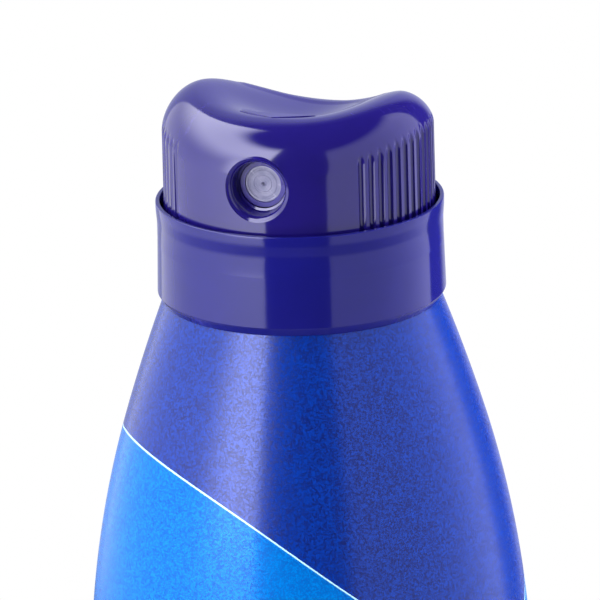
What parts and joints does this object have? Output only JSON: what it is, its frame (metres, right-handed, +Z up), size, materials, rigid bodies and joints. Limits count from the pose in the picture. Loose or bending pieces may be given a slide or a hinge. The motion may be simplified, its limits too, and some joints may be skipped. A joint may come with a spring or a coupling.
{
  "type": "aerosol spray can",
  "caption": "Shouldered aerosol spray can with a clip-on collar and a push-down, twist-lock spray head over a spring-loaded valve.",
  "frame": {"origin": "centre of the foot ring, on the surface that the can stands on", "axes": "+Z up along the can; the nozzle faces -Y at rest"},
  "size_m": [0.053, 0.053, 0.1948],
  "materials": {
    "can_print": "satin lacquer over fine metallic print",
    "cup_metal": "satin",
    "seal_rubber": "matte",
    "valve_plastic": "natural",
    "stem_plastic": "natural",
    "spring_steel": "bright wire",
    "tube_plastic": "translucent natural",
    "collar_plastic": "moulded gloss",
    "head_plastic": "moulded gloss",
    "channel_plastic": "moulded",
    "insert_plastic": "moulded satin"
  },
  "bodies": {
    "can": {"can_shell": "can_print", "valve_cup": "cup_metal", "cup_gasket": "seal_rubber", "stem_gasket": "seal_rubber", "valve_housing": "valve_plastic", "valve_spring": "spring_steel", "dip_tube": "tube_plastic", "collar": "collar_plastic"},
    "stem": {"valve_stem": "stem_plastic"},
    "spray_head": {"head_shell": "head_plastic", "spray_channel": "channel_plastic", "nozzle_insert": "insert_plastic"}
  },
  "joints": [
    {"name": "press", "type": "slide", "parent": "can", "child": "stem", "axis": [0, 0, -1], "range_m": [0, 0.0018], "stiffness_N_per_m": 1500, "springref_m": -0.006, "deforming": ["valve_spring"]},
    {"name": "twist", "type": "hinge", "parent": "stem", "child": "spray_head", "pos_m": [0, 0, 0.1812], "axis": [0, 0, 1], "range_deg": [0, 90]}
  ]
}
